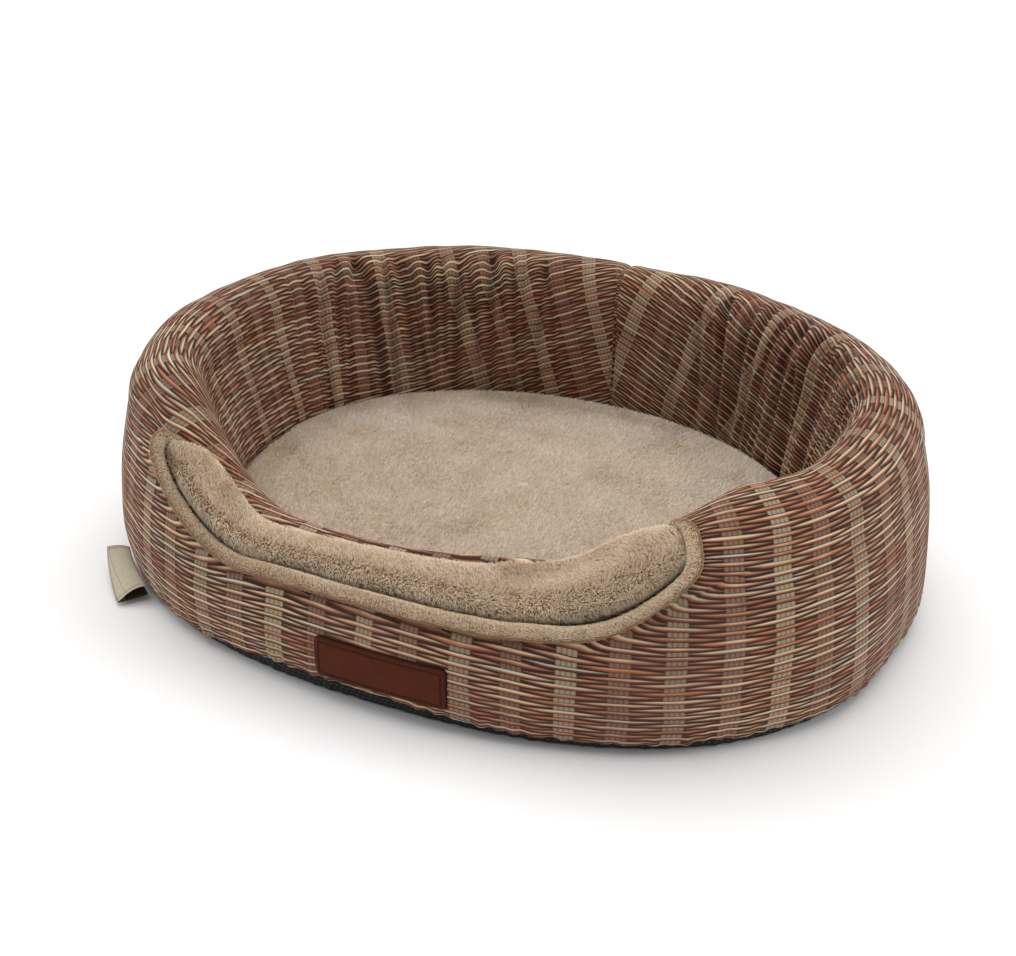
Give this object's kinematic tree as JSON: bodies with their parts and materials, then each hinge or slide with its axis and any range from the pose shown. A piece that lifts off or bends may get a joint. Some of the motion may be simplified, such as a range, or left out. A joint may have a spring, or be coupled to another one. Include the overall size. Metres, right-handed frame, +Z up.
{
  "type": "soft oval pet bed",
  "caption": "Oval padded pet bed with a wicker-print fabric wall, a low plush entrance roll at the front, and a loose plush mat inside.",
  "frame": {"origin": "middle of the flat underside, where the bed rests on the floor", "axes": "+Z up, -Y towards the low plush entrance, +X towards the right as seen from the entrance; the long side lies along X"},
  "size_m": [0.5492, 0.4352, 0.149],
  "materials": {
    "wicker_print": "fine canvas with a printed basket weave in rust, tan, cream and dark brown",
    "base_fabric": "black non-slip fabric with small grey grip dots",
    "foam": "open-cell foam",
    "lining": "plain woven lining",
    "plush": "long tan plush pile",
    "mat_plush": "short greige plush pile with brushed streaks",
    "fibre": "white polyester fibre",
    "leather": "smooth reddish brown leather, satin",
    "thread": "dark brown sewing thread",
    "woven_label": "cream woven ribbon, mustard inside and dark brown underneath"
  },
  "bodies": {
    "bed": {"base_fabric": "base_fabric", "wall_foam": "foam", "wall_cover": "wicker_print", "back_seam_tape": "wicker_print", "floor_foam": "foam", "floor_lining": "lining", "roll_filling": "fibre", "roll_cover": "plush", "roll_flange": "plush", "leather_patch": "leather", "patch_stitching": "thread"},
    "mat": {"mat_underside": "lining", "mat_filling": "fibre", "mat_top_cover": "mat_plush"},
    "label": {"folded_label": "woven_label"}
  },
  "joints": [
    {"name": "mat_lift", "type": "slide", "parent": "bed", "child": "mat", "axis": [0, 0, 1], "range_m": [0, 0.2]},
    {"name": "label_bend", "type": "hinge", "parent": "bed", "child": "label", "pos_m": [-0.21107, -0.15567, 0.0104], "axis": [-0.7587, 0.6514, 0], "range_deg": [-5, 25], "stiffness_Nm_per_rad": 0.01}
  ]
}
